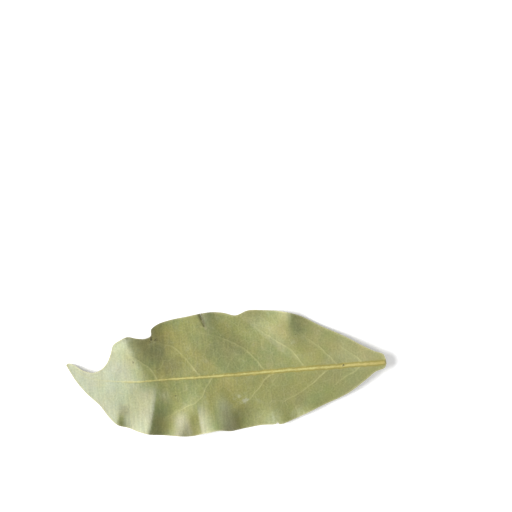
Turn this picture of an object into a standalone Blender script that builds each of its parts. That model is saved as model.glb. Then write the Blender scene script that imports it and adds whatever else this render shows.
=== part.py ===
"""A dried bay leaf lying loose on a flat surface, its pale veined underside up.

Metres, +Z up. X runs along the midrib, from the tip at -X to the broken base at +X, and Y
across the blade. The blade is one waved sheet: a Delaunay mesh of the outline and the veins
lies on the height of the face that is turned down, and the same triangles, lifted by the
blade's thickness and the veins, make the face that is turned up.
"""

import bmesh
import bpy
import numpy as np
from mathutils import Vector
from mathutils.geometry import delaunay_2d_cdt

MM = 0.001

# Blade, in mm
THICKNESS = 0.6
GRID = 1.4  # spacing of the blade's inner points
MARGIN_STEP = 1.1  # spacing of the points along the margin
VEIN_STEP = 1.3  # spacing of the points along a vein
DISC_SIDES = 8  # of the flat spot

# Outline in plan, in mm, as points on a smooth curve. The upper margin runs from the base to
# the tip, with a slit torn into it and a smooth bay next to the tip. The lower one runs back.
UPPER_TO_SLIT = [
    (42.7, 1.0), (42.1, 2.35), (39.8, 3.3), (36.6, 5.1), (32.0, 7.9), (26.5, 10.7),
    (20.7, 14.0), (16.3, 15.4), (11.0, 16.1), (7.0, 16.3), (3.6, 15.2), (0.4, 16.1),
    (-2.6, 16.5), (-5.62, 16.37),
]  # fmt: skip
SLIT_END = (-4.4, 12.3)
UPPER_FROM_SLIT = [
    (-5.72, 16.35), (-9.3, 15.8), (-14.0, 15.2), (-17.0, 14.4), (-18.7, 13.2), (-18.9, 11.5),
    (-20.4, 10.9), (-22.6, 11.2), (-24.8, 11.8), (-27.2, 10.9), (-28.9, 9.8), (-29.9, 7.4),
    (-31.2, 4.9), (-33.2, 3.2), (-35.4, 2.7), (-38.0, 3.5), (-40.2, 5.0), (-41.8, 5.5),
]  # fmt: skip
LOWER = [
    (-42.4, 5.1), (-41.4, 3.2), (-39.6, 0.2), (-37.2, -2.8), (-33.8, -6.1), (-31.5, -9.3),
    (-29.2, -11.4), (-26.4, -12.4), (-23.6, -13.6), (-19.6, -14.7), (-14.6, -15.5),
    (-10.0, -16.0), (-6.4, -15.4), (-2.6, -14.8), (0.8, -15.3), (4.4, -15.0), (8.6, -14.5),
    (12.4, -14.4), (13.0, -14.0), (13.4, -14.5), (17.2, -13.5), (24.3, -10.6), (32.3, -7.4),
    (37.6, -3.8), (39.8, -2.2), (42.3, -1.3), (42.8, -0.2),
]  # fmt: skip

# Veins in plan, in mm: half-width and relief of the midrib at the base and at the tip, and
# of a side vein. Each side vein leaves the midrib and arches towards the tip.
MIDRIB = [
    (41.8, 0.1), (30.0, -0.05), (16.0, -0.15), (4.0, -0.35), (-8.0, -0.3), (-16.0, -0.2),
    (-24.0, -0.2), (-28.5, 0.1), (-33.0, 0.6), (-37.0, 1.7), (-40.6, 4.0),
]  # fmt: skip
MIDRIB_HALF_WIDTH = (0.75, 0.3)
MIDRIB_RELIEF = (0.5, 0.12)
SIDE_HALF_WIDTH = 0.45
SIDE_RELIEF = 0.16
SIDE_VEINS = [
    [(30.1, 0.0), (27.9, 2.9), (23.4, 6.9), (20.6, 9.6)],
    [(21.4, 0.0), (17.5, 5.2), (13.7, 8.1), (8.7, 11.9)],
    [(10.8, 0.0), (6.9, 4.9), (1.3, 8.7), (-6.4, 11.6)],
    [(-6.9, 0.0), (-10.3, 5.0), (-13.6, 8.2), (-18.2, 9.8)],
    [(-17.8, 0.0), (-19.2, 2.5), (-22.6, 5.6), (-25.4, 7.2)],
    [(28.0, 0.0), (24.8, -2.7), (19.3, -6.5), (14.4, -8.7)],
    [(13.0, 0.0), (10.0, -2.8), (5.5, -7.4), (0.4, -9.6)],
    [(-3.4, 0.0), (-7.1, -6.0), (-12.6, -8.8), (-17.0, -10.8)],
]

# Form, in mm. At stations along X: the height of the down-turned face under the midrib, and
# how much lower the blade lies at CAMBER_AT from the midrib on the -Y and on the +Y side.
STATIONS = [
    (-42.5, 0.05, 0.0, 0.0), (-35.5, 2.2, 0.3, 0.0), (-29.0, 4.0, 1.3, 0.2), (-23.0, 5.0, 2.4, 1.0),
    (-15.0, 4.4, 3.8, 3.2), (-6.0, 3.85, 3.7, 3.5), (5.4, 3.0, 3.0, 3.1), (14.0, 2.7, 2.5, 3.2),
    (28.0, 2.5, 2.8, 2.8), (42.7, 2.7, 3.2, 3.0),
]  # fmt: skip
STATION_STEP = 0.5  # spacing of the points on a curve through the stations
CAMBER_AT = 15.0
CAMBER_POWER = 1.5
# Ruffles: root, end, height at the end, width on the tip's side and on the base's side, and
# how round the crest is, where 2 is round and 1 a fold. Each is a ridge that grows from its
# root to the margin.
RUFFLES = [
    ((-27.4, -5.0), (-29.2, -11.4), 1.4, 3.0, 1.7, 1.6),
    ((-17.4, 1.0), (-21.2, -14.6), 3.5, 4.6, 3.1, 1.25),
    ((-3.5, 1.0), (-12.4, -14.0), 2.3, 3.3, 4.4, 1.7),
    ((-4.0, -1.6), (-2.8, -15.0), 3.7, 5.0, 4.2, 2.4),
    ((10.0, -4.0), (14.6, -14.2), 0.9, 4.0, 2.6, 1.7),
    ((19.0, -5.0), (22.0, -11.6), 0.9, 3.0, 3.4, 2.0),
    ((-16.5, -9.0), (-26.2, 11.8), 4.0, 3.4, 7.6, 1.5),
    ((-6.4, 2.0), (-6.2, 12.0), 0.9, 8.0, 4.2, 1.9),
    ((27.4, -4.0), (16.4, 10.5), 0.8, 3.8, 6.0, 1.8),
    ((17.5, 6.0), (17.9, 15.0), 2.1, 2.8, 3.6, 1.7),
]
RUFFLE_GROWTH = 1.5
CREST_RADIUS = 0.5
FOLDED = 1.5  # a ruffle no rounder than this has points along its crest
# The flap on the base's side of the slit stands above the other one by this much at the
# margin, and less with the distance from the slit.
FLAP_LIFT = 0.4
FLAP_WIDTH = 3.0
# Where the blade comes down to the surface it lies on: the middle of each such place and how
# far away the blade is back at its own height. It touches only with the low points, each
# coming down from this far. The flat spot beside one of them stays just clear of the surface.
LANDINGS = [((-42.4, 5.1), 1.5), ((6.4, -12.9), 6.0), ((5.4, 14.2), 9.5)]
LOW_POINTS = [(-42.0, 4.9), (6.4, -14.5), (5.2, 15.2)]
LOW_POINT_RADIUS = 1.0
FLAT_SPOT = (6.4, -12.6)
FLAT_RADIUS = 1.5
CLEARANCE = 0.1

SLOPE_STEP = 0.8  # mm each way, to measure the slope that the thickness is taken across
SHARP_EDGE = np.radians(50)


def curve_through(points, step):
    """Evenly spaced points on a smooth curve through the given ones, both ends included."""
    knots = np.array(points, float)
    ends = np.vstack([2 * knots[0] - knots[1], knots, 2 * knots[-1] - knots[-2]])
    fine = []
    for before, start, end, after in zip(ends, ends[1:], ends[2:], ends[3:]):
        t = np.linspace(0, 1, 24, endpoint=False)[:, None]
        sides = (start - before, end - start, after - end)
        spans = [max(np.hypot(*side), 1e-6) ** 0.5 for side in sides]
        leave = spans[1] * (sides[0] / spans[0] - (end - before) / (spans[0] + spans[1])) + sides[1]
        reach = spans[1] * (sides[2] / spans[2] - (after - start) / (spans[1] + spans[2])) + sides[1]
        turn = 2 * (start - end) + leave + reach
        bend = 3 * (end - start) - 2 * leave - reach
        fine.append(start + t * (leave + t * (bend + t * turn)))
    fine = np.vstack(fine + [knots[-1:]])
    along = np.concatenate([[0], np.cumsum(np.hypot(*np.diff(fine, axis=0).T))])
    places = np.linspace(0, along[-1], max(round(along[-1] / step), 2) + 1)
    return np.stack([np.interp(places, along, fine[:, axis]) for axis in (0, 1)], 1)


def nearest_on(route, points):
    """For each point, its distance from the route and how far along the route that is, 0 to 1."""
    start, run = route[:-1], np.diff(route, axis=0)
    length = np.hypot(*run.T)
    offset = points[:, None] - start
    t = np.clip((offset * run).sum(2) / length**2, 0, 1)
    apart = np.hypot(*np.moveaxis(offset - t[..., None] * run, 2, 0))
    nearest = apart.argmin(1)
    rows = np.arange(len(points))
    along = np.concatenate([[0], np.cumsum(length)[:-1]])[nearest] + t[rows, nearest] * length[nearest]
    return apart[rows, nearest], along / length.sum()


def smooth_step(value):
    value = np.clip(value, 0, 1)
    return value * value * (3 - 2 * value)


def margin():
    """The outline as one closed ring."""
    upper = np.vstack([
        curve_through(UPPER_TO_SLIT, MARGIN_STEP),
        curve_through([UPPER_TO_SLIT[-1], SLIT_END], MARGIN_STEP)[1:-1],
        curve_through([SLIT_END, UPPER_FROM_SLIT[0]], MARGIN_STEP)[:-1],
        curve_through(UPPER_FROM_SLIT, MARGIN_STEP),
    ])  # fmt: skip
    return np.vstack([upper, curve_through(LOWER, MARGIN_STEP)])


def midrib_y(x):
    route = curve_through(MIDRIB, VEIN_STEP)[::-1]
    return np.interp(x, route[:, 0], route[:, 1])


def ruffle(points, root, end, height, tip_side, base_side, roundness):
    root, end = np.array(root), np.array(end)
    run = (end - root) / np.hypot(*(end - root))
    along = (points - root) @ run / np.hypot(*(end - root))
    across = (points - root) @ np.array([abs(run[1]), -run[0] * np.sign(run[1])])
    width = np.where(across < 0, tip_side, base_side)
    crest = np.exp(-(np.hypot(across, CREST_RADIUS) / width) ** roundness)
    return height * np.clip(along, 0, 1.1) ** RUFFLE_GROWTH * crest


def flap(points):
    """Lift of the blade on the base's side of the slit."""
    slit = np.array([SLIT_END, UPPER_TO_SLIT[-1]])
    middle = (slit[1] + UPPER_FROM_SLIT[0]) / 2
    run = middle - slit[0]
    along = (points - slit[0]) @ run / (run @ run)
    across = points[:, 0] - slit[0][0] - along * run[0]
    side = (across > 0) * np.exp(-((across / FLAP_WIDTH) ** 2))
    return FLAP_LIFT * smooth_step(along) * side


def station_curves():
    table = np.array(STATIONS)
    return [table[:, (0, column)] for column in (1, 2, 3)]


def down_face(points):
    """Height of the face that is turned down, in mm above the surface."""
    x, y = points.T
    away = y - midrib_y(x)
    middle, lower, upper = (np.interp(x, *curve_through(run, STATION_STEP).T) for run in station_curves())
    height = middle - np.where(away < 0, lower, upper) * (np.abs(away) / CAMBER_AT) ** CAMBER_POWER
    for shape in RUFFLES:
        height = height + ruffle(points, *shape)
    height = height + flap(points)
    for centre, slope in LANDINGS:
        height = height * smooth_step(np.hypot(*(points - centre).T) / slope)
    beyond_spot = np.hypot(*(points - FLAT_SPOT).T) / FLAT_RADIUS - 1
    height = CLEARANCE + np.maximum(height, 0) * smooth_step(beyond_spot)
    for point in LOW_POINTS:
        height = height * smooth_step(np.hypot(*(points - point).T) / LOW_POINT_RADIUS)
    return height


def relief(points):
    """How far the midrib and the side veins stand out of the face that is turned up."""
    apart, along = nearest_on(curve_through(MIDRIB, VEIN_STEP), points)
    width = MIDRIB_HALF_WIDTH[0] + along * (MIDRIB_HALF_WIDTH[1] - MIDRIB_HALF_WIDTH[0])
    peak = MIDRIB_RELIEF[0] + along * (MIDRIB_RELIEF[1] - MIDRIB_RELIEF[0])
    out = peak * (1 - smooth_step(apart / width))
    for vein in SIDE_VEINS:
        apart, along = nearest_on(curve_through(vein, VEIN_STEP), points)
        peak = SIDE_RELIEF * (1 - along)
        out = np.maximum(out, peak * (1 - smooth_step(apart / SIDE_HALF_WIDTH)))
    return out


def beside(route, half_widths):
    """The two lines that run along a route, at half-widths that change evenly from start to end."""
    run = np.gradient(route, axis=0)
    across = np.stack([-run[:, 1], run[:, 0]], 1) / np.hypot(*run.T)[:, None]
    offset = across * np.linspace(*half_widths, len(route))[:, None]
    return route + offset, route - offset


def plan_lines():
    """Centre and flanks of the midrib, and the side veins from where they leave its flank."""
    middle = curve_through(MIDRIB, VEIN_STEP)
    lines = [middle, *beside(middle, MIDRIB_HALF_WIDTH)]
    for vein in SIDE_VEINS:
        route = curve_through(vein, VEIN_STEP)
        for line in (route, *beside(route, (SIDE_HALF_WIDTH, SIDE_HALF_WIDTH))):
            clear = nearest_on(middle, line)[0] > 2 * MIDRIB_HALF_WIDTH[0]
            lines.append(line[clear])
    return lines + [disc_edge(FLAT_SPOT, FLAT_RADIUS)]


def fold_lines(ring):
    """The crests of the ruffles that are nearly folds, as far as they are well inside the outline."""
    lines = []
    for root, end, *_, roundness in RUFFLES:
        if roundness <= FOLDED:
            crest = curve_through([root, end], VEIN_STEP)
            clear = nearest_on(np.vstack([ring, ring[:1]]), crest)[0] > 0.6 * GRID
            lines.append(crest[clear & inside(ring, crest)])
    return lines


def disc_edge(centre, radius):
    """A closed line round the flat spot."""
    turn = np.linspace(0, 2 * np.pi, DISC_SIDES + 1)[:, None]
    return centre + radius * np.hstack([np.cos(turn), np.sin(turn)])


def fill_points(ring, lines):
    """Points on a triangular grid inside the outline, clear of it and of the veins."""
    rows = np.arange(-18, 18, GRID * 3**0.5 / 2)
    columns = np.arange(-45, 45, GRID)
    grid = np.array([(x + GRID / 2 * (row % 2), y) for row, y in enumerate(rows) for x in columns])
    keep = inside(ring, grid) & (nearest_on(np.vstack([ring, ring[:1]]), grid)[0] > 0.6 * GRID)
    for line in lines:
        keep &= nearest_on(line, grid)[0] > 0.55 * GRID
    for point in LOW_POINTS:
        keep &= np.hypot(*(grid - point).T) > 0.6 * GRID
    return grid[keep]


def inside(ring, points):
    """Whether each point lies inside the ring, by counting the edges to its right."""
    x, y = points.T[:, :, None]
    (x1, y1), (x2, y2) = ring.T, np.roll(ring, -1, 0).T
    spans = (y1 > y) != (y2 > y)
    with np.errstate(divide="ignore", invalid="ignore"):
        crossing = x1 + (y - y1) * (x2 - x1) / (y2 - y1)
    return (spans & (crossing > x)).sum(1) % 2 == 1


def plan_mesh():
    """Points and triangles of the blade in plan."""
    ring = margin()
    lines = plan_lines() + fold_lines(ring)
    points = [Vector(p) for p in ring]
    edges = [(i, (i + 1) % len(ring)) for i in range(len(ring))]
    for line in lines:
        edges += [(len(points) + i, len(points) + i + 1) for i in range(len(line) - 1)]
        points += [Vector(p) for p in line]
    points += [Vector(p) for p in LOW_POINTS]
    points += [Vector(p) for p in fill_points(ring, lines)]
    corners, _, faces, *_ = delaunay_2d_cdt(points, edges, [], 1, 1e-4)
    return np.array([tuple(p) for p in corners]), faces


def leaf_mesh():
    """The closed blade: the sheet of the down-turned face, extruded, and its copy lifted."""
    plan, faces = plan_mesh()
    low = down_face(plan)
    slope = [(down_face(plan + d) - down_face(plan - d)) / (2 * SLOPE_STEP) for d in SLOPE_STEP * np.eye(2)]
    lift = THICKNESS * np.hypot(1, np.hypot(*slope)) + relief(plan)

    shape = bmesh.new()
    place = shape.verts.layers.int.new("place")
    corners = [shape.verts.new((x, y, z)) for (x, y), z in zip(plan, low)]
    for index, corner in enumerate(corners):
        corner[place] = index
    sheet = [shape.faces.new([corners[i] for i in face]) for face in faces]
    made = bmesh.ops.extrude_face_region(shape, geom=sheet, use_keep_orig=True)["geom"]
    for corner in made:
        if isinstance(corner, bmesh.types.BMVert):
            corner.co.z += lift[corner[place]]
    bmesh.ops.recalc_face_normals(shape, faces=shape.faces)
    bmesh.ops.triangulate(shape, faces=[face for face in shape.faces if len(face.verts) > 3])

    # The origin is at the middle of the leaf's box, on the surface that it lies on.
    middle = (plan.max(0) + plan.min(0)) / 2
    bmesh.ops.translate(shape, verts=shape.verts, vec=(-middle[0], -middle[1], 0))
    bmesh.ops.scale(shape, verts=shape.verts, vec=(MM, MM, MM))
    mesh = bpy.data.meshes.new("bay_leaf")
    shape.to_mesh(mesh)
    shape.free()
    return mesh


def leaf_material():
    material = bpy.data.materials.new("dried_bay_leaf")
    material.use_nodes = True
    surface = material.node_tree.nodes["Principled BSDF"]
    surface.inputs["Base Color"].default_value = (0.34, 0.34, 0.14, 1)
    surface.inputs["Roughness"].default_value = 0.7
    surface.inputs["Metallic"].default_value = 0
    return material


def main():
    for thing in list(bpy.data.objects):
        bpy.data.objects.remove(thing)
    collection = bpy.data.collections.new("dried_bay_leaf")
    bpy.context.scene.collection.children.link(collection)
    leaf = bpy.data.objects.new("bay_leaf", leaf_mesh())
    collection.objects.link(leaf)
    leaf.data.materials.append(leaf_material())
    leaf.data.shade_smooth()
    leaf.data.set_sharp_from_angle(angle=SHARP_EDGE)


main()
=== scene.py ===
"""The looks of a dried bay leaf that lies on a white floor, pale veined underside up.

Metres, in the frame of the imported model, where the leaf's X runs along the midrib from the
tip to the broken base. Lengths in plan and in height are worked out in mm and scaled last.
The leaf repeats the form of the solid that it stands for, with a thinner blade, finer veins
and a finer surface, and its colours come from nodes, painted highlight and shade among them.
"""

import math
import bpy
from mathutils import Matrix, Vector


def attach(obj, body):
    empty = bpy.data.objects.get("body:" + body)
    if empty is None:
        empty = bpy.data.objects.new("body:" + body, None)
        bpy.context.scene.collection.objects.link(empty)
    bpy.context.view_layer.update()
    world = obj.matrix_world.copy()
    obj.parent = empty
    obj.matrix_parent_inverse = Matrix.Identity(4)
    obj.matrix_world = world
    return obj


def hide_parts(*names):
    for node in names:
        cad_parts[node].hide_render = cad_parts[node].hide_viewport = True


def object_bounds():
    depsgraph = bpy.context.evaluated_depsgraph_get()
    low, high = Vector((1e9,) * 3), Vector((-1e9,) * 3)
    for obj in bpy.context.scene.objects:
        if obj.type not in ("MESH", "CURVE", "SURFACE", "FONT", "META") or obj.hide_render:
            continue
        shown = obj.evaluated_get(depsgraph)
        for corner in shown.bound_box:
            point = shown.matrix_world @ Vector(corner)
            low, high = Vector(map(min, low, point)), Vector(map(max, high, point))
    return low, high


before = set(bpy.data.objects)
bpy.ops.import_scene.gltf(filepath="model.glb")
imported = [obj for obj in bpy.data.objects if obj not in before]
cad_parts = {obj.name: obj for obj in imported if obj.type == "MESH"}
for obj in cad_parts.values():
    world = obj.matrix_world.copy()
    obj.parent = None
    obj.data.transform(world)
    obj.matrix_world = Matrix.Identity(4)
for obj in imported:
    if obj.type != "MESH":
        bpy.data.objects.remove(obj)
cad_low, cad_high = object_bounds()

from types import SimpleNamespace

import bpy
import numpy as np
from mathutils import Vector, noise
from mathutils.geometry import delaunay_2d_cdt

MM = 0.001

# Blade and its mesh, in mm
THICKNESS = 0.3
GRID = 0.42  # spacing of the blade's inner points
GRID_HALF_LENGTH, GRID_HALF_WIDTH = 45, 18  # of the area that these points are taken from
MARGIN_CLEAR = 0.6 * GRID  # how far they keep from the margin and from the low points
LINE_CLEAR = 0.5 * GRID  # how far they keep from veins and crests
MARGIN_STEP = 0.35  # spacing of the points along the margin
VEIN_STEP = 0.45  # spacing of the points along a vein
SPAN_STEPS = 24  # steps from one given point of a curve to the next, before it is respaced
WELD = 1e-4
SHARP_ANGLE = math.radians(50)
PLAN_SCALE = 0.9995  # a hair less than the solid, whose box it stays inside

# Outline in plan, in mm, as points on a smooth curve. The upper margin runs from the base to
# the tip, with a slit torn into it and a smooth bay next to the tip. The lower one runs back.
UPPER_TO_SLIT = [
    (42.7, 1.0), (42.1, 2.35), (39.8, 3.3), (36.6, 5.1), (32.0, 7.9), (26.5, 10.7),
    (20.7, 14.0), (16.3, 15.4), (11.0, 16.1), (7.0, 16.3), (3.6, 15.2), (0.4, 16.1),
    (-2.6, 16.5), (-5.62, 16.37),
]  # fmt: skip
SLIT_END = (-4.4, 12.3)
UPPER_FROM_SLIT = [
    (-5.72, 16.35), (-9.3, 15.8), (-14.0, 15.2), (-17.0, 14.4), (-18.7, 13.2), (-18.9, 11.5),
    (-20.4, 10.9), (-22.6, 11.2), (-24.8, 11.8), (-27.2, 10.9), (-28.9, 9.8), (-29.9, 7.4),
    (-31.2, 4.9), (-33.2, 3.2), (-35.4, 2.7), (-38.0, 3.5), (-40.2, 5.0), (-41.8, 5.5),
]  # fmt: skip
LOWER = [
    (-42.4, 5.1), (-41.4, 3.2), (-39.6, 0.2), (-37.2, -2.8), (-33.8, -6.1), (-31.5, -9.3),
    (-29.2, -11.4), (-26.4, -12.4), (-23.6, -13.6), (-19.6, -14.7), (-14.6, -15.5),
    (-10.0, -16.0), (-6.4, -15.4), (-2.6, -14.8), (0.8, -15.3), (4.4, -15.0), (8.6, -14.5),
    (12.4, -14.4), (13.0, -14.0), (13.4, -14.5), (17.2, -13.5), (24.3, -10.6), (32.3, -7.4),
    (37.6, -3.8), (39.8, -2.2), (42.3, -1.3), (42.8, -0.2),
]  # fmt: skip

# Veins in plan, in mm: half-width and relief of the midrib at the base and at the tip, and
# of a side vein at its foot and at its end. Each side vein leaves the midrib and arches
# towards the tip.
MIDRIB = [
    (42.3, 0.1), (30.0, -0.05), (16.0, -0.15), (4.0, -0.35), (-8.0, -0.3), (-16.0, -0.2),
    (-24.0, -0.2), (-28.5, 0.1), (-33.0, 0.6), (-37.0, 1.7), (-40.6, 4.0),
]  # fmt: skip
MIDRIB_HALF_WIDTH = (0.66, 0.2)
MIDRIB_RELIEF = (0.42, 0.02)
MIDRIB_FADES = 0.3  # share of its length, at the tip
SIDE_HALF_WIDTH = (0.26, 0.12)
SIDE_RELIEF = (0.05, 0.02)
SIDE_STARTS = 1.4 * MIDRIB_HALF_WIDTH[0]  # distance from the midrib's middle
KINKS = 0.35  # of a side vein, each way
KINK_LENGTH = 2.4
KINK_LAYERS = (0.3, 5.7)  # heights in the noise, one for the kinks along X and one along Y
SIDE_VEINS = [
    [(36.6, 0.0), (35.2, 1.9), (33.2, 3.6), (30.6, 5.6)],
    [(30.1, 0.0), (27.9, 2.9), (23.4, 6.9), (20.6, 9.6)],
    [(21.4, 0.0), (17.5, 5.2), (13.7, 8.1), (8.7, 11.9)],
    [(10.8, 0.0), (6.9, 4.9), (1.3, 8.7), (-6.4, 11.6)],
    [(-6.9, 0.0), (-10.3, 5.0), (-13.6, 8.2), (-18.2, 9.8)],
    [(-17.8, 0.0), (-19.2, 2.5), (-22.6, 5.6), (-25.4, 7.2)],
    [(36.0, 0.0), (34.4, -1.6), (31.6, -3.4), (28.6, -5.2)],
    [(28.0, 0.0), (24.8, -2.7), (19.3, -6.5), (14.4, -8.7)],
    [(13.0, 0.0), (10.0, -2.8), (5.5, -7.4), (0.4, -9.6)],
    [(-3.4, 0.0), (-7.1, -6.0), (-12.6, -8.8), (-17.0, -10.8)],
]

# Form, in mm. At stations along X: the height of the down-turned face under the midrib, and
# how much lower the blade lies at CAMBER_AT from the midrib on the -Y and on the +Y side.
STATIONS = [
    (-42.5, 0.05, 0.0, 0.0), (-35.5, 2.2, 0.3, 0.0), (-29.0, 4.0, 1.3, 0.2), (-23.0, 5.0, 2.4, 1.0),
    (-15.0, 4.4, 3.8, 3.2), (-6.0, 3.85, 3.7, 3.5), (5.4, 3.0, 3.0, 3.1), (14.0, 2.7, 2.5, 3.2),
    (28.0, 2.5, 2.8, 2.8), (42.7, 2.7, 3.2, 3.0),
]  # fmt: skip
STATION_STEP = 0.5  # spacing of the points on a curve through the stations
CAMBER_AT = 15.0
CAMBER_POWER = 1.5
# Ruffles: root, end, height at the end, width on the tip's side and on the base's side, and
# how round the crest is, where 2 is round and 1 a fold. Each is a ridge that grows from its
# root to the margin.
RUFFLES = [
    ((-27.4, -5.0), (-29.2, -11.4), 1.4, 3.0, 1.7, 1.6),
    ((-17.4, 1.0), (-21.2, -14.6), 3.5, 4.6, 3.1, 1.25),
    ((-3.5, 1.0), (-12.4, -14.0), 2.3, 3.3, 4.4, 1.7),
    ((-4.0, -1.6), (-2.8, -15.0), 3.7, 5.0, 4.2, 2.4),
    ((10.0, -4.0), (14.6, -14.2), 0.9, 4.0, 2.6, 1.7),
    ((19.0, -5.0), (22.0, -11.6), 0.9, 3.0, 3.4, 2.0),
    ((-16.5, -9.0), (-26.2, 11.8), 4.0, 3.4, 7.6, 1.5),
    ((-6.4, 2.0), (-6.2, 12.0), 0.9, 8.0, 4.2, 1.9),
    ((27.4, -4.0), (16.4, 10.5), 0.8, 3.8, 6.0, 1.8),
    ((17.5, 6.0), (17.9, 15.0), 2.1, 2.8, 3.6, 1.7),
]
RUFFLE_GROWTH = 1.5
RUFFLE_REACH = 1.1  # where along its line, from root to end, a ruffle stops growing
CREST_RADIUS = 0.5
FOLDED = 1.5  # a ruffle no rounder than this has points along its crest
# The flap on the base's side of the slit stands above the other one by this much at the
# margin, and less with the distance from the slit.
FLAP_LIFT = 0.4
FLAP_WIDTH = 3.0
# Where the blade comes down to the surface it lies on: the middle of each such place and how
# far away the blade is back at its own height. It touches only with the low points, each
# coming down from this far.
LANDINGS = [((-42.4, 5.1), 1.5), ((6.4, -12.9), 6.0), ((5.4, 14.2), 9.5)]
LOW_POINTS = [(-42.0, 4.9), (6.4, -14.5), (5.2, 15.2)]
LOW_POINT_RADIUS = 1.0
# What only shows close up: size and height of the blade's swellings, and how wide and how
# high its rim is thickened. The blade's slope is found over SLOPE_STEP to each side.
SWELLINGS = [(7.0, 0.16), (2.6, 0.05)]
RIM_WIDTH = 0.35
RIM_SWELL = 0.06
SLOPE_STEP = 0.8

# Painted highlight on crests and painted shade in hollows, in mm. A point is a crest or a hollow
# where the blade this far around it is lower or higher by CREST_HEIGHT.
CREST_REACH = 0.9
CREST_HEIGHT = 0.12
# Faces of the folds with a painted highlight, and those with painted shade. Each has a line, how far
# the colour reaches from it to its right and to its left, and how strong it is.
HIGHLIGHT_FACES = [
    ((-17.7, 0.5), (-21.2, -14.6), 7.0, 0.35, 0.7), ((-12.4, -8.0), (-12.9, -15.8), 2.6, 3.0, 0.55),
    ((-8.0, -6.0), (-7.2, -15.3), 0.4, 4.0, 0.5), ((-2.0, -4.0), (0.2, -13.0), 3.4, 2.6, 0.42),
    ((-11.4, -9.5), (-11.0, -15.8), 1.5, 1.8, 0.5), ((-3.8, 10.0), (-4.8, 17.0), 3.0, 0.5, 0.15),
    ((21.5, -1.0), (7.0, 13.0), 4.5, 0.4, 0.15), ((-31.0, 7.0), (-23.5, 11.7), 1.2, 1.2, 0.35),
]  # fmt: skip
SHADE_FACES = [
    ((-19.6, -8.0), (-20.6, -14.6), 0.35, 4.0, 0.35), ((-8.3, -8.5), (-7.5, -15.3), 3.0, 0.35, 0.5),
    ((-28.0, -7.5), (-28.4, -12.0), 2.0, 1.4, 0.95),
]  # fmt: skip
# The line of the painted shadow in the slit, and its half-width at the slit's end and at the margin
SLIT_SHADOW_LINE = [(-4.6, 12.2), (-5.9, 16.0)]
SLIT_SHADOW_WIDTH = (0.3, 1.0)
# A side vein's colour is full up to the first share of its half-width and gone at the second,
# and it loses SIDE_PALES of its strength by its end.
SIDE_COLOUR = (0.3, 1.2)
SIDE_PALES = 0.75
# Half the width of the midrib's yellow line at two places along X. The distance from the
# midrib is stored up to MIDRIB_REACH, and the line's edges stray by up to half of STRAY.
MIDRIB_LINE_AT = (-33.0, 42.0)
MIDRIB_LINE = (0.2, 0.42)
MIDRIB_REACH = 3.0
STRAY = 0.7
# Where the line ends and is full, and where the olive edge beside it does, in half-widths
MIDRIB_LINE_ENDS = (1.0, 0.6)
MIDRIB_EDGE_ENDS = (2.4, 1.2)
# Round marks: middle and radius. A noise of about 0.5 moves a mark's edge. Its swing, and the
# distances where the mark ends and where it is full, are in radii.
# Dark patches: stains, and painted shade on slopes turned away from the light
STAINS_AND_SHADE = [
    ((-18.5, 6.5), 7.0), ((-15.0, 3.5), 4.5), ((1.0, 5.5), 6.5), ((20.5, 11.5), 3.0),
    ((7.0, 14.6), 5.0), ((-27.6, -7.5), 3.0), ((19.0, -8.5), 3.5),
]  # fmt: skip
# Pale patches of painted sheen
SHEEN_PATCHES = [
    ((11.8, -12.8), 3.4), ((18.6, -12.6), 2.8), ((-27.0, 9.5), 2.5), ((-16.4, -4.6), 3.0),
]  # fmt: skip
SCUFFS = [((3.0, -6.0), 1.2), ((4.7, -7.6), 1.1), ((-26.2, 11.4), 1.0)]
# Dark specks; the first two are painted shade in the corner of the dent
SPECKS_AND_DENT_SHADE = [
    ((-18.9, 10.6), 0.6), ((-17.7, 10.4), 0.4), ((31.3, 0.1), 0.32), ((-23.8, 5.0), 0.3),
    ((19.2, 9.1), 0.2), ((-13.5, -4.8), 0.2), ((26.0, -6.4), 0.2),
]  # fmt: skip
WIDE_MARK = (2, 2, 1)
SMALL_MARK = (6, 4, 3)

# Places where a colour sets in and where it is full, in mm: along X, and for the painted shade
# on the lower half along Y too
STRAW_BASE_AT = (12.0, 44.0)
# The pale grey towards the tip is painted sheen
TIP_SHEEN_AT = (-18.0, -30.0)
LOWER_SHADE_AT_X, LOWER_SHADE_AT_Y = (0.0, 10.0), (1.5, -2.5)
STREAKED_AT = (24.0, -20.0)
MIDRIB_AT = (-35.0, -11.0)
MIDRIB_EDGE_AT = (-22.0, 10.0)
MIDRIB_TAN_AT = (20.0, 40.0)

# Noises: size in mm, detail and roughness. The nets: size of a cell and width of its lines.
CLOUD = (14.0, 3.0, 0.55)
TINT = (7.0, 3.0, 0.6)
PATCH = (4.5, 4.0, 0.6)
WANDER = (3.0, 2.0, 0.55)
BLOOM = (2.2, 4.0, 0.7)
WOBBLE = (1.6, 3.0, 0.55)
STREAK = (0.6, 2.0, 0.6)
GRAIN = (0.5, 3.0, 0.65)
STREAK_SQUEEZE = (1.0, 0.12, 1.0)  # of the streaks' noise, which makes them long across X
NET_BENDS = 1.6
COARSE_NET = (3.2, 0.2)
FINE_NET = (0.95, 0.16)
BUMP_SHARES = (0.5, 0.3, 0.5)  # of the coarse net, the fine net and the grain
BUMP_STRENGTH = 0.8
BUMP_DEPTH = 0.035
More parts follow.
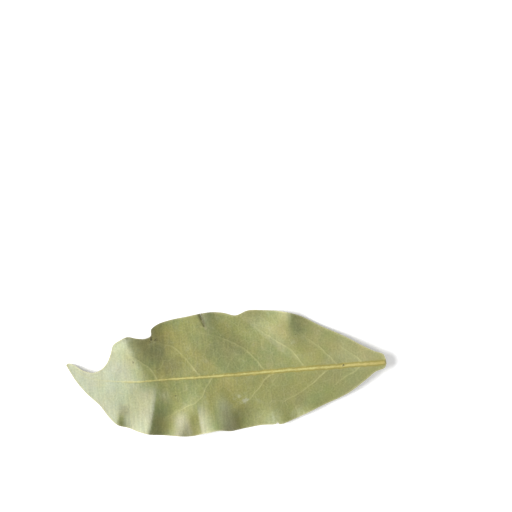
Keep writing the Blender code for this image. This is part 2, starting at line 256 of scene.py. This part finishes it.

# Colours, as linear RGB: the pale underside with its marks and its painted highlight and shade, then the
# dark upper side
GREEN, OLIVE = (0.195, 0.222, 0.070), (0.240, 0.236, 0.060)
STRAW_PATCH = (0.275, 0.26, 0.085)
BLOOM_GREY = (0.28, 0.31, 0.165)
STRAW_BASE = (0.335, 0.32, 0.135)
# Painted shade on the lower half towards the base
LOWER_HALF_SHADE = (0.195, 0.205, 0.06)
# Painted sheen towards the tip
TIP_SHEEN = (0.28, 0.31, 0.24)
# Painted highlight on crests and painted shade in hollows
CREST_HIGHLIGHT, HOLLOW_SHADE = (0.36, 0.38, 0.245), (0.18, 0.18, 0.06)
# Painted shade and painted highlight on the faces of the folds
FOLD_SHADE, FOLD_HIGHLIGHT = (0.155, 0.168, 0.045), (0.44, 0.43, 0.30)
# Stains and painted shade
STAIN_AND_SHADE_COLOUR = (0.15, 0.148, 0.055)
# Painted sheen
PAINTED_SHEEN = (0.33, 0.35, 0.20)
SCUFF = (0.38, 0.39, 0.27)
NET = (0.34, 0.335, 0.15)
SIDE_VEIN = (0.44, 0.43, 0.18)
MIDRIB_EDGE = (0.29, 0.245, 0.045)
MIDRIB_YELLOW, MIDRIB_TAN, MIDRIB_BROWN = (0.47, 0.44, 0.15), (0.45, 0.38, 0.12), (0.37, 0.31, 0.075)
RIM = (0.45, 0.42, 0.23)
# Painted shadow in the slit
SLIT_SHADOW = (0.055, 0.055, 0.01)
# Specks, and painted shade in the dent
SPECK_AND_SHADE_COLOUR = (0.10, 0.09, 0.03)
UPPER_GREEN, UPPER_OLIVE = (0.115, 0.125, 0.04), (0.16, 0.155, 0.055)
UPPER_NET = (0.25, 0.24, 0.1)
# Factors on a colour: at the low and at the high end of the grain and of the streaks, and how
# much the tint's noise adds to each channel's least
GRAIN_FACTORS = (0.88, 0.88, 0.86), (1.1, 1.1, 1.13)
STREAK_FACTORS = (0.90, 0.91, 0.92), (1.10, 1.09, 1.08)
TINT_SWING, TINT_LEAST = (0.24, 0.2, 0.5), (0.88, 0.9, 0.75)
# How strong a mark or a net is, the patches of painted shade and the painted shadow in the slit among
# them
STAIN_AND_SHADE_SHARE, SCUFF_SHARE, RIM_SHARE, SLIT_SHADOW_SHARE = 0.5, 0.6, 0.6, 0.95
COARSE_SHARE, FINE_SHARE, UPPER_NET_SHARE = 0.2, 0.12, 0.25

ROUGHNESS = (0.58, 0.66)
# Rougher where the slit's shadow is painted
SLIT_SHADOW_ROUGHER = 0.3
SPECULAR = 0.7

# Floor, in m, and the light: name, place in m, power in W and side in m of each soft lamp
FLOOR_HALF = 2.0
FLOOR_WHITE = (0.9, 0.9, 0.9, 1)
FLOOR_ROUGHNESS = 0.9
FLOOR_SPECULAR = 0.1
FLOOR_GLOW = 0.25
LAMPS = [("key", (-0.58, 0.03, 0.46), 9.1, 0.42), ("fill", (0.5, -0.3, 0.8), 1.2, 0.8)]
SKY = 0.38
WHITE = (1, 1, 1, 1)

# Camera: straight above, turned so that the midrib rises a little to the right.
FRAME_WIDTH = 0.1352
FRAME_MIDDLE = (0.01005, 0.03035)
FRAME_TURN = math.radians(3.98)
LENS = 100.0
SENSOR = 36.0


def curve_through(points, step):
    """Evenly spaced points on a smooth curve through the given ones, both ends included."""
    knots = np.array(points, float)
    ends = np.vstack([2 * knots[0] - knots[1], knots, 2 * knots[-1] - knots[-2]])
    fine = []
    for before, start, end, after in zip(ends, ends[1:], ends[2:], ends[3:]):
        t = np.linspace(0, 1, SPAN_STEPS, endpoint=False)[:, None]
        sides = (start - before, end - start, after - end)
        spans = [max(np.hypot(*side), 1e-6) ** 0.5 for side in sides]
        leave = spans[1] * (sides[0] / spans[0] - (end - before) / (spans[0] + spans[1])) + sides[1]
        reach = spans[1] * (sides[2] / spans[2] - (after - start) / (spans[1] + spans[2])) + sides[1]
        turn = 2 * (start - end) + leave + reach
        bend = 3 * (end - start) - 2 * leave - reach
        fine.append(start + t * (leave + t * (bend + t * turn)))
    fine = np.vstack(fine + [knots[-1:]])
    along = np.concatenate([[0], np.cumsum(np.hypot(*np.diff(fine, axis=0).T))])
    places = np.linspace(0, along[-1], max(round(along[-1] / step), 2) + 1)
    return np.stack([np.interp(places, along, fine[:, axis]) for axis in (0, 1)], 1)


def nearest_on(route, points):
    """For each point, its distance from the route and how far along the route that is, 0 to 1."""
    start, run = route[:-1], np.diff(route, axis=0)
    length = np.hypot(*run.T)
    begins = np.concatenate([[0], np.cumsum(length)[:-1]])
    apart, along = np.full(len(points), np.inf), np.zeros(len(points))
    for a, r, l, begin in zip(start, run, length, begins):
        t = np.clip((points - a) @ r / l**2, 0, 1)
        d = np.hypot(*(points - a - t[:, None] * r).T)
        closer = d < apart
        apart[closer], along[closer] = d[closer], (begin + t * l)[closer]
    return apart, along / length.sum()


def distance_to(ring, points):
    """Distance of each point from the closed ring."""
    return nearest_on(np.vstack([ring, ring[:1]]), points)[0]


def smooth_step(value):
    value = np.clip(value, 0, 1)
    return value * value * (3 - 2 * value)


def between(ends, share):
    return ends[0] + share * (ends[1] - ends[0])


def margin():
    """The outline as one closed ring."""
    upper = np.vstack([
        curve_through(UPPER_TO_SLIT, MARGIN_STEP),
        curve_through([UPPER_TO_SLIT[-1], SLIT_END], MARGIN_STEP)[1:-1],
        curve_through([SLIT_END, UPPER_FROM_SLIT[0]], MARGIN_STEP)[:-1],
        curve_through(UPPER_FROM_SLIT, MARGIN_STEP),
    ])  # fmt: skip
    return np.vstack([upper, curve_through(LOWER, MARGIN_STEP)])


def midrib_y(x):
    route = curve_through(MIDRIB, VEIN_STEP)[::-1]
    return np.interp(x, route[:, 0], route[:, 1])


def ruffle(points, root, end, height, tip_side, base_side, roundness):
    """Height of one ruffle at each point."""
    root, end = np.array(root), np.array(end)
    run = (end - root) / np.hypot(*(end - root))
    along = (points - root) @ run / np.hypot(*(end - root))
    across = (points - root) @ np.array([abs(run[1]), -run[0] * np.sign(run[1])])
    width = np.where(across < 0, tip_side, base_side)
    crest = np.exp(-(np.hypot(across, CREST_RADIUS) / width) ** roundness)
    return height * np.clip(along, 0, RUFFLE_REACH) ** RUFFLE_GROWTH * crest


def flap(points):
    """Lift of the blade on the base's side of the slit."""
    slit = np.array([SLIT_END, UPPER_TO_SLIT[-1]])
    middle = (slit[1] + UPPER_FROM_SLIT[0]) / 2
    run = middle - slit[0]
    along = (points - slit[0]) @ run / (run @ run)
    across = points[:, 0] - slit[0][0] - along * run[0]
    side = (across > 0) * np.exp(-((across / FLAP_WIDTH) ** 2))
    return FLAP_LIFT * smooth_step(along) * side


def unevenness(points):
    """Height of the swellings at each point."""
    return np.array([
        sum(high * noise.noise(Vector((x / size, y / size, high))) for size, high in SWELLINGS)
        for x, y in points
    ])  # fmt: skip


def station_curves():
    """The stations' three values as curves over X."""
    table = np.array(STATIONS)
    return [curve_through(table[:, (0, column)], STATION_STEP).T for column in (1, 2, 3)]


def down_face(points):
    """Height of the face that is turned down, in mm above the floor."""
    x, y = points.T
    away = y - midrib_y(x)
    middle, lower, upper = (np.interp(x, *curve) for curve in station_curves())
    height = middle - np.where(away < 0, lower, upper) * (np.abs(away) / CAMBER_AT) ** CAMBER_POWER
    for shape in RUFFLES:
        height = height + ruffle(points, *shape)
    height = height + flap(points)
    height = height + unevenness(points)
    for centre, slope in LANDINGS:
        height = height * smooth_step(np.hypot(*(points - centre).T) / slope)
    height = np.maximum(height, 0)
    for point in LOW_POINTS:
        height = height * smooth_step(np.hypot(*(points - point).T) / LOW_POINT_RADIUS)
    return height


def up_face(points, low):
    """Height of the face that is turned up, without veins. The thickness is square to the slope."""
    steps = SLOPE_STEP * np.eye(2)
    slope = [(down_face(points + step) - down_face(points - step)) / (2 * SLOPE_STEP) for step in steps]
    return low + THICKNESS * np.hypot(1, np.hypot(*slope))


def crests(points, low):
    """How far each point stands out from the blade around it: 1 on a crest, -1 in a hollow. It places the
    painted highlight on crests and the painted shade in hollows.
    """
    turns = [CREST_REACH * np.array([math.cos(a), math.sin(a)]) for a in math.pi / 3 * np.arange(6)]
    around = np.mean([down_face(points + turn) for turn in turns], 0)
    return np.clip((low - around) / CREST_HEIGHT, -1, 1)


def side_route(vein):
    """A side vein's line, with its kinks."""
    route = curve_through(vein, VEIN_STEP)
    spots = [[Vector((x, y, 0)) / KINK_LENGTH + Vector((0, 0, z)) for z in KINK_LAYERS] for x, y in route]
    kinks = [[noise.noise(spot) for spot in pair] for pair in spots]
    return route + KINKS * np.array(kinks)


def veins(points):
    """Relief of the veins in mm, and how much of a side vein shows at each point."""
    apart, along = nearest_on(curve_through(MIDRIB, VEIN_STEP), points)
    share = apart / between(MIDRIB_HALF_WIDTH, along)
    relief = between(MIDRIB_RELIEF, along) * np.clip(1 - share**2, 0, 1)
    relief *= smooth_step((1 - along) / MIDRIB_FADES)
    side = np.zeros(len(points))
    full, gone = SIDE_COLOUR
    for vein in SIDE_VEINS:
        apart, along = nearest_on(side_route(vein), points)
        share = apart / between(SIDE_HALF_WIDTH, along)
        relief = np.maximum(relief, between(SIDE_RELIEF, along) * np.clip(1 - share**2, 0, 1))
        shown = 1 - smooth_step((share - full) / (gone - full))
        side = np.maximum(side, shown * (1 - SIDE_PALES * along))
    return relief, side


def faces_beside(lines, points):
    """How strong a colour is beside the given lines. It grows from the start of each line."""
    shown = np.zeros(len(points))
    for start, end, right, left, strength in lines:
        start, run = np.array(start), np.array(end) - start
        length = np.hypot(*run)
        along = (points - start) @ run / length**2
        across = (points - start) @ np.array([-run[1], run[0]]) / length
        width = np.where(across < 0, right, left)
        beside_line = smooth_step(2 * along) * (1 - smooth_step(np.abs(across) / width))
        shown = np.maximum(shown, strength * beside_line)
    return shown


def beside(route, half_widths):
    """The two lines that run along a route, at half-widths that change evenly from start to end."""
    run = np.gradient(route, axis=0)
    across = np.stack([-run[:, 1], run[:, 0]], 1) / np.hypot(*run.T)[:, None]
    offset = across * np.linspace(*half_widths, len(route))[:, None]
    return route + offset, route - offset


def plan_lines():
    """Centre and flanks of the midrib, and the side veins from where they leave its flank."""
    middle = curve_through(MIDRIB, VEIN_STEP)
    halves = [share / 2 for share in MIDRIB_HALF_WIDTH]
    lines = [middle, *beside(middle, MIDRIB_HALF_WIDTH), *beside(middle, halves)]
    for vein in SIDE_VEINS:
        route = side_route(vein)
        for line in (route, *beside(route, SIDE_HALF_WIDTH)):
            clear = nearest_on(middle, line)[0] > SIDE_STARTS
            lines.append(line[clear])
    return lines


def fold_lines(ring):
    """The crests of the ruffles that are nearly folds, as far as they are well inside the outline."""
    lines = []
    for root, end, *_, roundness in RUFFLES:
        if roundness <= FOLDED:
            crest = curve_through([root, end], VEIN_STEP)
            clear = distance_to(ring, crest) > MARGIN_CLEAR
            lines.append(crest[clear & inside(ring, crest)])
    return lines


def inside(ring, points):
    """Whether each point lies inside the ring, by counting the edges to its right."""
    x, y = points.T
    odd = np.zeros(len(points), bool)
    for (x1, y1), (x2, y2) in zip(ring, np.roll(ring, -1, 0)):
        if y1 != y2:
            odd ^= ((y1 > y) != (y2 > y)) & (x1 + (y - y1) * (x2 - x1) / (y2 - y1) > x)
    return odd


def fill_points(ring, lines):
    """Points on a triangular grid inside the outline, clear of it and of the given lines."""
    rows = np.arange(-GRID_HALF_WIDTH, GRID_HALF_WIDTH, GRID * 3**0.5 / 2)
    columns = np.arange(-GRID_HALF_LENGTH, GRID_HALF_LENGTH, GRID)
    grid = np.array([(x + GRID / 2 * (row % 2), y) for row, y in enumerate(rows) for x in columns])
    grid = grid[inside(ring, grid)]
    keep = distance_to(ring, grid) > MARGIN_CLEAR
    for line in lines:
        keep &= nearest_on(line, grid)[0] > LINE_CLEAR
    for point in LOW_POINTS:
        keep &= np.hypot(*(grid - point).T) > MARGIN_CLEAR
    return grid[keep]


def plan_mesh():
    """Points and triangles of the blade in plan, and the ring of its margin."""
    ring = margin()
    lines = plan_lines() + fold_lines(ring)
    points = [Vector(p) for p in ring]
    edges = [(i, (i + 1) % len(ring)) for i in range(len(ring))]
    for line in lines:
        edges += [(len(points) + i, len(points) + i + 1) for i in range(len(line) - 1)]
        points += [Vector(p) for p in line]
    points += [Vector(p) for p in LOW_POINTS]
    points += [Vector(p) for p in fill_points(ring, lines)]
    inside_only = 1
    corners, _, faces, *_ = delaunay_2d_cdt(points, edges, [], inside_only, WELD)
    return np.array([tuple(p) for p in corners]), faces, ring


def closed_sheet(plan, faces, low, high):
    """Points and faces of the closed sheet between two heights, in mm, centred in plan."""
    count = len(plan)
    triangles = np.array([list(face) for face in faces])
    ends = np.concatenate([triangles[:, [0, 1]], triangles[:, [1, 2]], triangles[:, [2, 0]]])
    sides, uses = np.unique(np.sort(ends, 1), axis=0, return_counts=True)
    open_sides = {tuple(pair) for pair in sides[uses == 1].tolist()}
    walls = [(a, b) for a, b in ends.tolist() if tuple(sorted((a, b))) in open_sides]
    points = np.vstack([np.column_stack([plan, low]), np.column_stack([plan, high])])
    shape = triangles[:, ::-1].tolist() + (triangles + count).tolist()
    shape += [(a, b, b + count, a + count) for a, b in walls]
    middle = (plan.max(0) + plan.min(0)) / 2
    points[:, :2] = (points[:, :2] - middle) * PLAN_SCALE
    return points, shape


def leaf_mesh():
    """The closed blade, with what its material reads stored on its points."""
    plan, faces, ring = plan_mesh()
    low = down_face(plan)
    relief, side = veins(plan)
    rim = 1 - smooth_step(distance_to(ring, plan) / RIM_WIDTH)
    from_slit_shadow, along_slit_shadow = nearest_on(np.array(SLIT_SHADOW_LINE), plan)
    from_midrib, _ = nearest_on(curve_through(MIDRIB, VEIN_STEP), plan)
    points, shape = closed_sheet(plan, faces, low, up_face(plan, low) + relief + RIM_SWELL * rim)
    mesh = bpy.data.meshes.new("leaf_blade")
    mesh.from_pydata((points * MM).tolist(), [], shape)

    seen = {
        "side_vein": side,
        "rim": rim,
        # painted shadow in the slit
        "tear": 1 - smooth_step(from_slit_shadow / between(SLIT_SHADOW_WIDTH, along_slit_shadow)),
        # painted highlight on crests and painted shade in hollows
        "crest": crests(plan, low),
        # painted highlight and painted shade on the faces of the folds
        "pale_fold": faces_beside(HIGHLIGHT_FACES, plan),
        "dark_fold": faces_beside(SHADE_FACES, plan),
        "from_midrib": np.minimum(from_midrib, MIDRIB_REACH),
    }
    for name, values in seen.items():
        mesh.attributes.new(name, "FLOAT", "POINT").data.foreach_set("value", np.tile(values, 2))
    up = np.repeat([0.0, 1.0], len(plan))
    mesh.attributes.new("pale_face", "FLOAT", "POINT").data.foreach_set("value", up)
    spread = np.column_stack([np.tile(plan, (2, 1)), np.zeros(2 * len(plan))])
    mesh.attributes.new("plan", "FLOAT_VECTOR", "POINT").data.foreach_set("vector", spread.ravel())
    mesh.shade_smooth()
    mesh.set_sharp_from_angle(angle=SHARP_ANGLE)
    mesh.validate()
    return mesh


class Nodes:
    """Short calls that add a material's nodes and link them."""

    def __init__(self, name):
        self.material = bpy.data.materials.new(name)
        self.material.use_nodes = True
        self.tree = self.material.node_tree
        self.surface = self.tree.nodes["Principled BSDF"]

    def add(self, kind, inputs=(), **settings):
        node = self.tree.nodes.new(kind)
        for key, value in settings.items():
            setattr(node, key, value)
        for key, value in dict(inputs).items():
            self.feed(node.inputs[key], value)
        return node

    def feed(self, socket, value):
        if isinstance(value, bpy.types.NodeSocket):
            self.tree.links.new(value, socket)
        else:
            socket.default_value = value

    def attribute(self, name, output="Fac"):
        return self.add("ShaderNodeAttribute", attribute_name=name).outputs[output]

    def math(self, operation, a, b):
        return self.add("ShaderNodeMath", {0: a, 1: b}, operation=operation).outputs[0]

    def vectors(self, operation, inputs, output=0):
        return self.add("ShaderNodeVectorMath", inputs, operation=operation).outputs[output]

    def ramp(self, value, low, high, start=0.0, end=1.0, smooth=True):
        """Maps low..high to start..end, and stays there beyond."""
        inputs = {"Value": value, "From Min": low, "From Max": high, "To Min": start, "To Max": end}
        kind = "SMOOTHSTEP" if smooth else "LINEAR"
        return self.add("ShaderNodeMapRange", inputs, interpolation_type=kind).outputs[0]

    def mix(self, share, a, b, blend="MIX"):
        node = self.add("ShaderNodeMix", data_type="RGBA", blend_type=blend)
        for socket, value in zip((0, 6, 7), (share, a, b)):
            self.feed(node.inputs[socket], (*value, 1) if isinstance(value, tuple) else value)
        return node.outputs[2]

    def noise(self, at, size, detail, roughness, output="Fac"):
        inputs = {"Vector": at, "Scale": 1 / size, "Detail": detail, "Roughness": roughness}
        return self.add("ShaderNodeTexNoise", inputs).outputs[output]

    def net(self, at, size, line):
        """Lines between cells of the given size, 1 on a line."""
        settings = {"voronoi_dimensions": "2D", "feature": "DISTANCE_TO_EDGE"}
        cells = self.add("ShaderNodeTexVoronoi", {"Vector": at, "Scale": 1 / size}, **settings)
        return self.ramp(cells.outputs["Distance"], 0.0, line / size, 1.0, 0.0)

    def mark(self, at, centre, radius, ragged, kind):
        """1 in a round mark and 0 around it, with an edge that the noise makes ragged."""
        swing, ends, full = kind
        apart = self.vectors("DISTANCE", {0: at, 1: (*centre, 0)}, "Value")
        apart = self.math("ADD", apart, self.math("MULTIPLY", ragged, swing * radius))
        return self.ramp(apart, ends * radius, full * radius)


def leaf_maps(n):
    """The values stored on the leaf, and the noises and nets that its looks share."""
    names = ("side_vein", "rim", "tear", "crest", "pale_fold", "dark_fold", "from_midrib", "pale_face")
    m = SimpleNamespace(**{name: n.attribute(name) for name in names})
    m.plan = n.attribute("plan", "Vector")
    m.x, m.y, _ = n.add("ShaderNodeSeparateXYZ", {0: m.plan}).outputs

    wander = n.noise(m.plan, *WANDER, output="Color")
    bend = n.vectors("SCALE", {0: wander, "Scale": NET_BENDS})
    bent = n.vectors("ADD", {0: m.plan, 1: bend})
    m.coarse_net = n.net(bent, *COARSE_NET)
    m.fine_net = n.net(bent, *FINE_NET)

    m.cloud = n.noise(m.plan, *CLOUD)
    m.patch = n.noise(m.plan, *PATCH)
    m.bloom = n.noise(m.plan, *BLOOM)
    m.grain = n.noise(m.plan, *GRAIN)
    m.streaks = n.noise(n.vectors("MULTIPLY", {0: m.plan, 1: STREAK_SQUEEZE}), *STREAK)
    return m


def underside_ground(n, m):
    """The pale face: its ground and ends, painted shade on its lower half, painted sheen at its tip,
    painted highlight and shade on crests, hollows and folds, then stains mixed with painted shade,
    painted sheen and scuffs.
    """
    colour = n.mix(n.ramp(m.cloud, 0.35, 0.65), GREEN, OLIVE)
    colour = n.mix(n.ramp(m.patch, 0.42, 0.72, 0.0, 0.7), colour, STRAW_PATCH)
    colour = n.mix(n.ramp(m.bloom, 0.52, 0.75, 0.0, 0.45), colour, BLOOM_GREY)
    colour = n.mix(n.ramp(m.x, *STRAW_BASE_AT, 0.0, 0.6), colour, STRAW_BASE)
    # Painted shade on the lower half towards the base
    lower_shade = n.math("MULTIPLY", n.ramp(m.x, *LOWER_SHADE_AT_X), n.ramp(m.y, *LOWER_SHADE_AT_Y, 0.0, 0.6))
    colour = n.mix(lower_shade, colour, LOWER_HALF_SHADE)
    # Painted sheen towards the tip
    colour = n.mix(n.ramp(m.x, *TIP_SHEEN_AT, 0.0, 0.6), colour, TIP_SHEEN)
    # Painted highlight on the crests and painted shade in the hollows
    colour = n.mix(n.ramp(m.crest, 0.1, 1.0, 0.0, 0.35), colour, CREST_HIGHLIGHT)
    colour = n.mix(n.ramp(m.crest, -0.1, -1.0, 0.0, 0.3), colour, HOLLOW_SHADE)
    # Painted shade and painted highlight on the faces of the folds
    colour = n.mix(m.dark_fold, colour, FOLD_SHADE)
    colour = n.mix(m.pale_fold, colour, FOLD_HIGHLIGHT)

    # Patches of stain and painted shade, patches of painted sheen, and scuffs
    sheen_strength = n.ramp(n.math("ADD", m.streaks, m.bloom), 0.7, 1.2, 0.15, 0.7)
    for places, ragged, kind, strength, shade in (
        (STAINS_AND_SHADE, m.patch, WIDE_MARK, STAIN_AND_SHADE_SHARE, STAIN_AND_SHADE_COLOUR),
        (SHEEN_PATCHES, m.patch, WIDE_MARK, sheen_strength, PAINTED_SHEEN),
        (SCUFFS, m.bloom, SMALL_MARK, SCUFF_SHARE, SCUFF),
    ):
        for centre, radius in places:
            mark = n.mark(m.plan, centre, radius, ragged, kind)
            colour = n.mix(n.math("MULTIPLY", mark, strength), colour, shade)
    return colour


def underside_texture(n, m, colour):
    """The pale face's net of fine veins, its grain, its tints and its streaks."""
    colour = n.mix(n.math("MULTIPLY", m.coarse_net, COARSE_SHARE), colour, NET)
    colour = n.mix(n.math("MULTIPLY", m.fine_net, FINE_SHARE), colour, NET)
    grain = n.mix(n.ramp(m.grain, 0.3, 0.7), *GRAIN_FACTORS)
    colour = n.mix(1.0, colour, grain, "MULTIPLY")
    tint = n.noise(m.plan, *TINT, output="Color")
    tint = n.vectors("MULTIPLY_ADD", {0: tint, 1: TINT_SWING, 2: TINT_LEAST})
    colour = n.mix(1.0, colour, tint, "MULTIPLY")
    streaks = n.mix(n.ramp(m.streaks, 0.3, 0.7), *STREAK_FACTORS)
    streaked = n.mix(1.0, colour, streaks, "MULTIPLY")
    return n.mix(n.ramp(m.x, *STREAKED_AT, 0.3, 1.0), colour, streaked)


def upper_side(n, m):
    """The darker and plainer face that is turned down."""
    colour = n.mix(n.ramp(m.cloud, 0.3, 0.7), UPPER_GREEN, UPPER_OLIVE)
    return n.mix(n.math("MULTIPLY", m.coarse_net, UPPER_NET_SHARE), colour, UPPER_NET)


def veined(n, m, colour):
    """Adds the side veins, and the midrib: yellow between olive edges, as far as it shows."""
    faint = n.ramp(m.patch, 0.35, 0.6, 0.4, 0.9)
    colour = n.mix(n.math("MULTIPLY", m.side_vein, faint), colour, SIDE_VEIN)

    wobble = n.math("SUBTRACT", n.noise(m.plan, *WOBBLE), 0.5)
    apart = n.math("ADD", m.from_midrib, n.math("MULTIPLY", wobble, STRAY))
    half_width = n.ramp(m.x, *MIDRIB_LINE_AT, *MIDRIB_LINE, smooth=False)
    share = n.math("DIVIDE", apart, half_width)
    shown = n.ramp(m.x, *MIDRIB_AT, 0.1, 1.0)
    edge = n.ramp(share, *MIDRIB_EDGE_ENDS)
    edge = n.math("MULTIPLY", edge, n.ramp(m.x, *MIDRIB_EDGE_AT, 0.2, 0.85))
    colour = n.mix(n.math("MULTIPLY", edge, shown), colour, MIDRIB_EDGE)
    vein = n.mix(n.ramp(m.x, *MIDRIB_TAN_AT), MIDRIB_YELLOW, MIDRIB_TAN)
    vein = n.mix(n.ramp(m.bloom, 0.42, 0.62, 0.0, 0.7), vein, MIDRIB_BROWN)
    return n.mix(n.math("MULTIPLY", n.ramp(share, *MIDRIB_LINE_ENDS), shown), colour, vein)


def edged(n, m, colour):
    """Adds the pale rim, the painted shadow in the slit, and the specks, two of them painted shade at the
    dent.
    """
    colour = n.mix(n.math("MULTIPLY", m.rim, RIM_SHARE), colour, RIM)
    # Painted shadow in the slit
    colour = n.mix(n.math("MULTIPLY", m.tear, SLIT_SHADOW_SHARE), colour, SLIT_SHADOW)
    # Specks, the first two painted shade in the dent
    for centre, radius in SPECKS_AND_DENT_SHADE:
        colour = n.mix(n.mark(m.plan, centre, radius, m.grain, SMALL_MARK), colour, SPECK_AND_SHADE_COLOUR)
    return colour


def leaf_material():
    n = Nodes("dried_bay_leaf")
    m = leaf_maps(n)
    underside = underside_texture(n, m, underside_ground(n, m))
    colour = n.mix(m.pale_face, upper_side(n, m), underside)
    n.feed(n.surface.inputs["Base Color"], edged(n, m, veined(n, m, colour)))

    rough = n.ramp(m.patch, 0.3, 0.7, *ROUGHNESS)
    rough = n.math("ADD", rough, n.math("MULTIPLY", m.tear, SLIT_SHADOW_ROUGHER))
    n.feed(n.surface.inputs["Roughness"], rough)
    n.surface.inputs["Specular IOR Level"].default_value = SPECULAR

    shared = zip((m.coarse_net, m.fine_net, m.grain), BUMP_SHARES)
    coarse, fine, grain = (n.math("MULTIPLY", value, share) for value, share in shared)
    height = n.math("ADD", n.math("ADD", coarse, fine), grain)
    depth = BUMP_DEPTH * MM
    bump = n.add("ShaderNodeBump", {"Strength": BUMP_STRENGTH, "Distance": depth, "Height": height})
    n.feed(n.surface.inputs["Normal"], bump.outputs[0])
    return n.material


def make_leaf():
    leaf = bpy.data.objects.new("leaf_blade", leaf_mesh())
    bpy.context.scene.collection.objects.link(leaf)
    leaf.data.materials.append(leaf_material())
    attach(leaf, "root")
    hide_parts("bay_leaf")


def make_floor():
    mesh = bpy.data.meshes.new("floor")
    corners = [(x * FLOOR_HALF, y * FLOOR_HALF, 0) for x, y in ((-1, -1), (1, -1), (1, 1), (-1, 1))]
    mesh.from_pydata(corners, [], [(0, 1, 2, 3)])
    floor = bpy.data.objects.new("floor", mesh)
    bpy.context.scene.collection.objects.link(floor)
    n = Nodes("white_floor")
    n.surface.inputs["Base Color"].default_value = FLOOR_WHITE
    n.surface.inputs["Roughness"].default_value = FLOOR_ROUGHNESS
    n.surface.inputs["Specular IOR Level"].default_value = FLOOR_SPECULAR
    n.surface.inputs["Emission Color"].default_value = WHITE
    n.surface.inputs["Emission Strength"].default_value = FLOOR_GLOW
    mesh.materials.append(n.material)


def make_camera():
    camera = bpy.data.cameras.new("camera")
    camera.lens, camera.sensor_width = LENS, SENSOR
    holder = bpy.data.objects.new("camera", camera)
    bpy.context.scene.collection.objects.link(holder)
    height = (cad_low.z + cad_high.z) / 2 + FRAME_WIDTH * LENS / SENSOR
    holder.location = (*FRAME_MIDDLE, height)
    holder.rotation_euler = (0, 0, -FRAME_TURN)
    bpy.context.scene.camera = holder


def soft_lamp(name, place, power, size):
    """A square lamp that faces the leaf."""
    light = bpy.data.lights.new(name, "AREA")
    light.energy, light.size = power, size
    holder = bpy.data.objects.new(name, light)
    bpy.context.scene.collection.objects.link(holder)
    holder.location = place
    holder.rotation_euler = (-Vector(place)).to_track_quat("-Z", "Y").to_euler()


def make_light():
    for lamp in LAMPS:
        soft_lamp(*lamp)
    world = bpy.data.worlds.new("studio")
    world.use_nodes = True
    background = world.node_tree.nodes["Background"]
    background.inputs["Color"].default_value = WHITE
    background.inputs["Strength"].default_value = SKY
    bpy.context.scene.world = world
    bpy.context.scene.view_settings.view_transform = "Standard"


make_camera()
make_floor()
make_light()
make_leaf()
